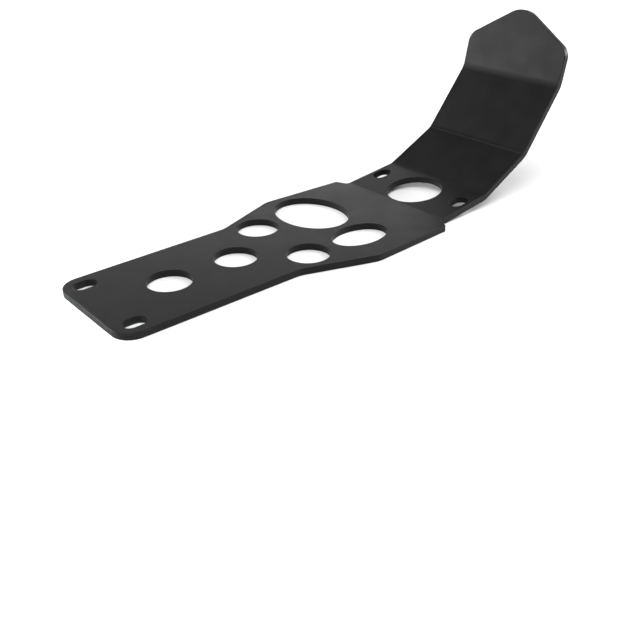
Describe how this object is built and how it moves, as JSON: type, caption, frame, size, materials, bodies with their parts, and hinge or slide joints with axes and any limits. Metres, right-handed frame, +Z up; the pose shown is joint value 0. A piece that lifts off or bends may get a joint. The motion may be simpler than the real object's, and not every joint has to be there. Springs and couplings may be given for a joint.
{
  "type": "motorcycle skid plate",
  "caption": "Folded metal plate that bolts under a motorcycle engine, with bolt slots, lightening holes and an upswept pointed nose.",
  "frame": {"origin": "midway between the two tail slots, on the underside of the flat tail section", "axes": "+X along the plate towards the nose, which is the front; +Y to the left, where the largest opening is; +Z up, square to the tail section. The plate rests on the underside of its tail section."},
  "size_m": [0.4113, 0.1296, 0.1303],
  "materials": {
    "black_coat": "satin"
  },
  "bodies": {
    "root": {"skid_plate": "black_coat"}
  },
  "joints": []
}
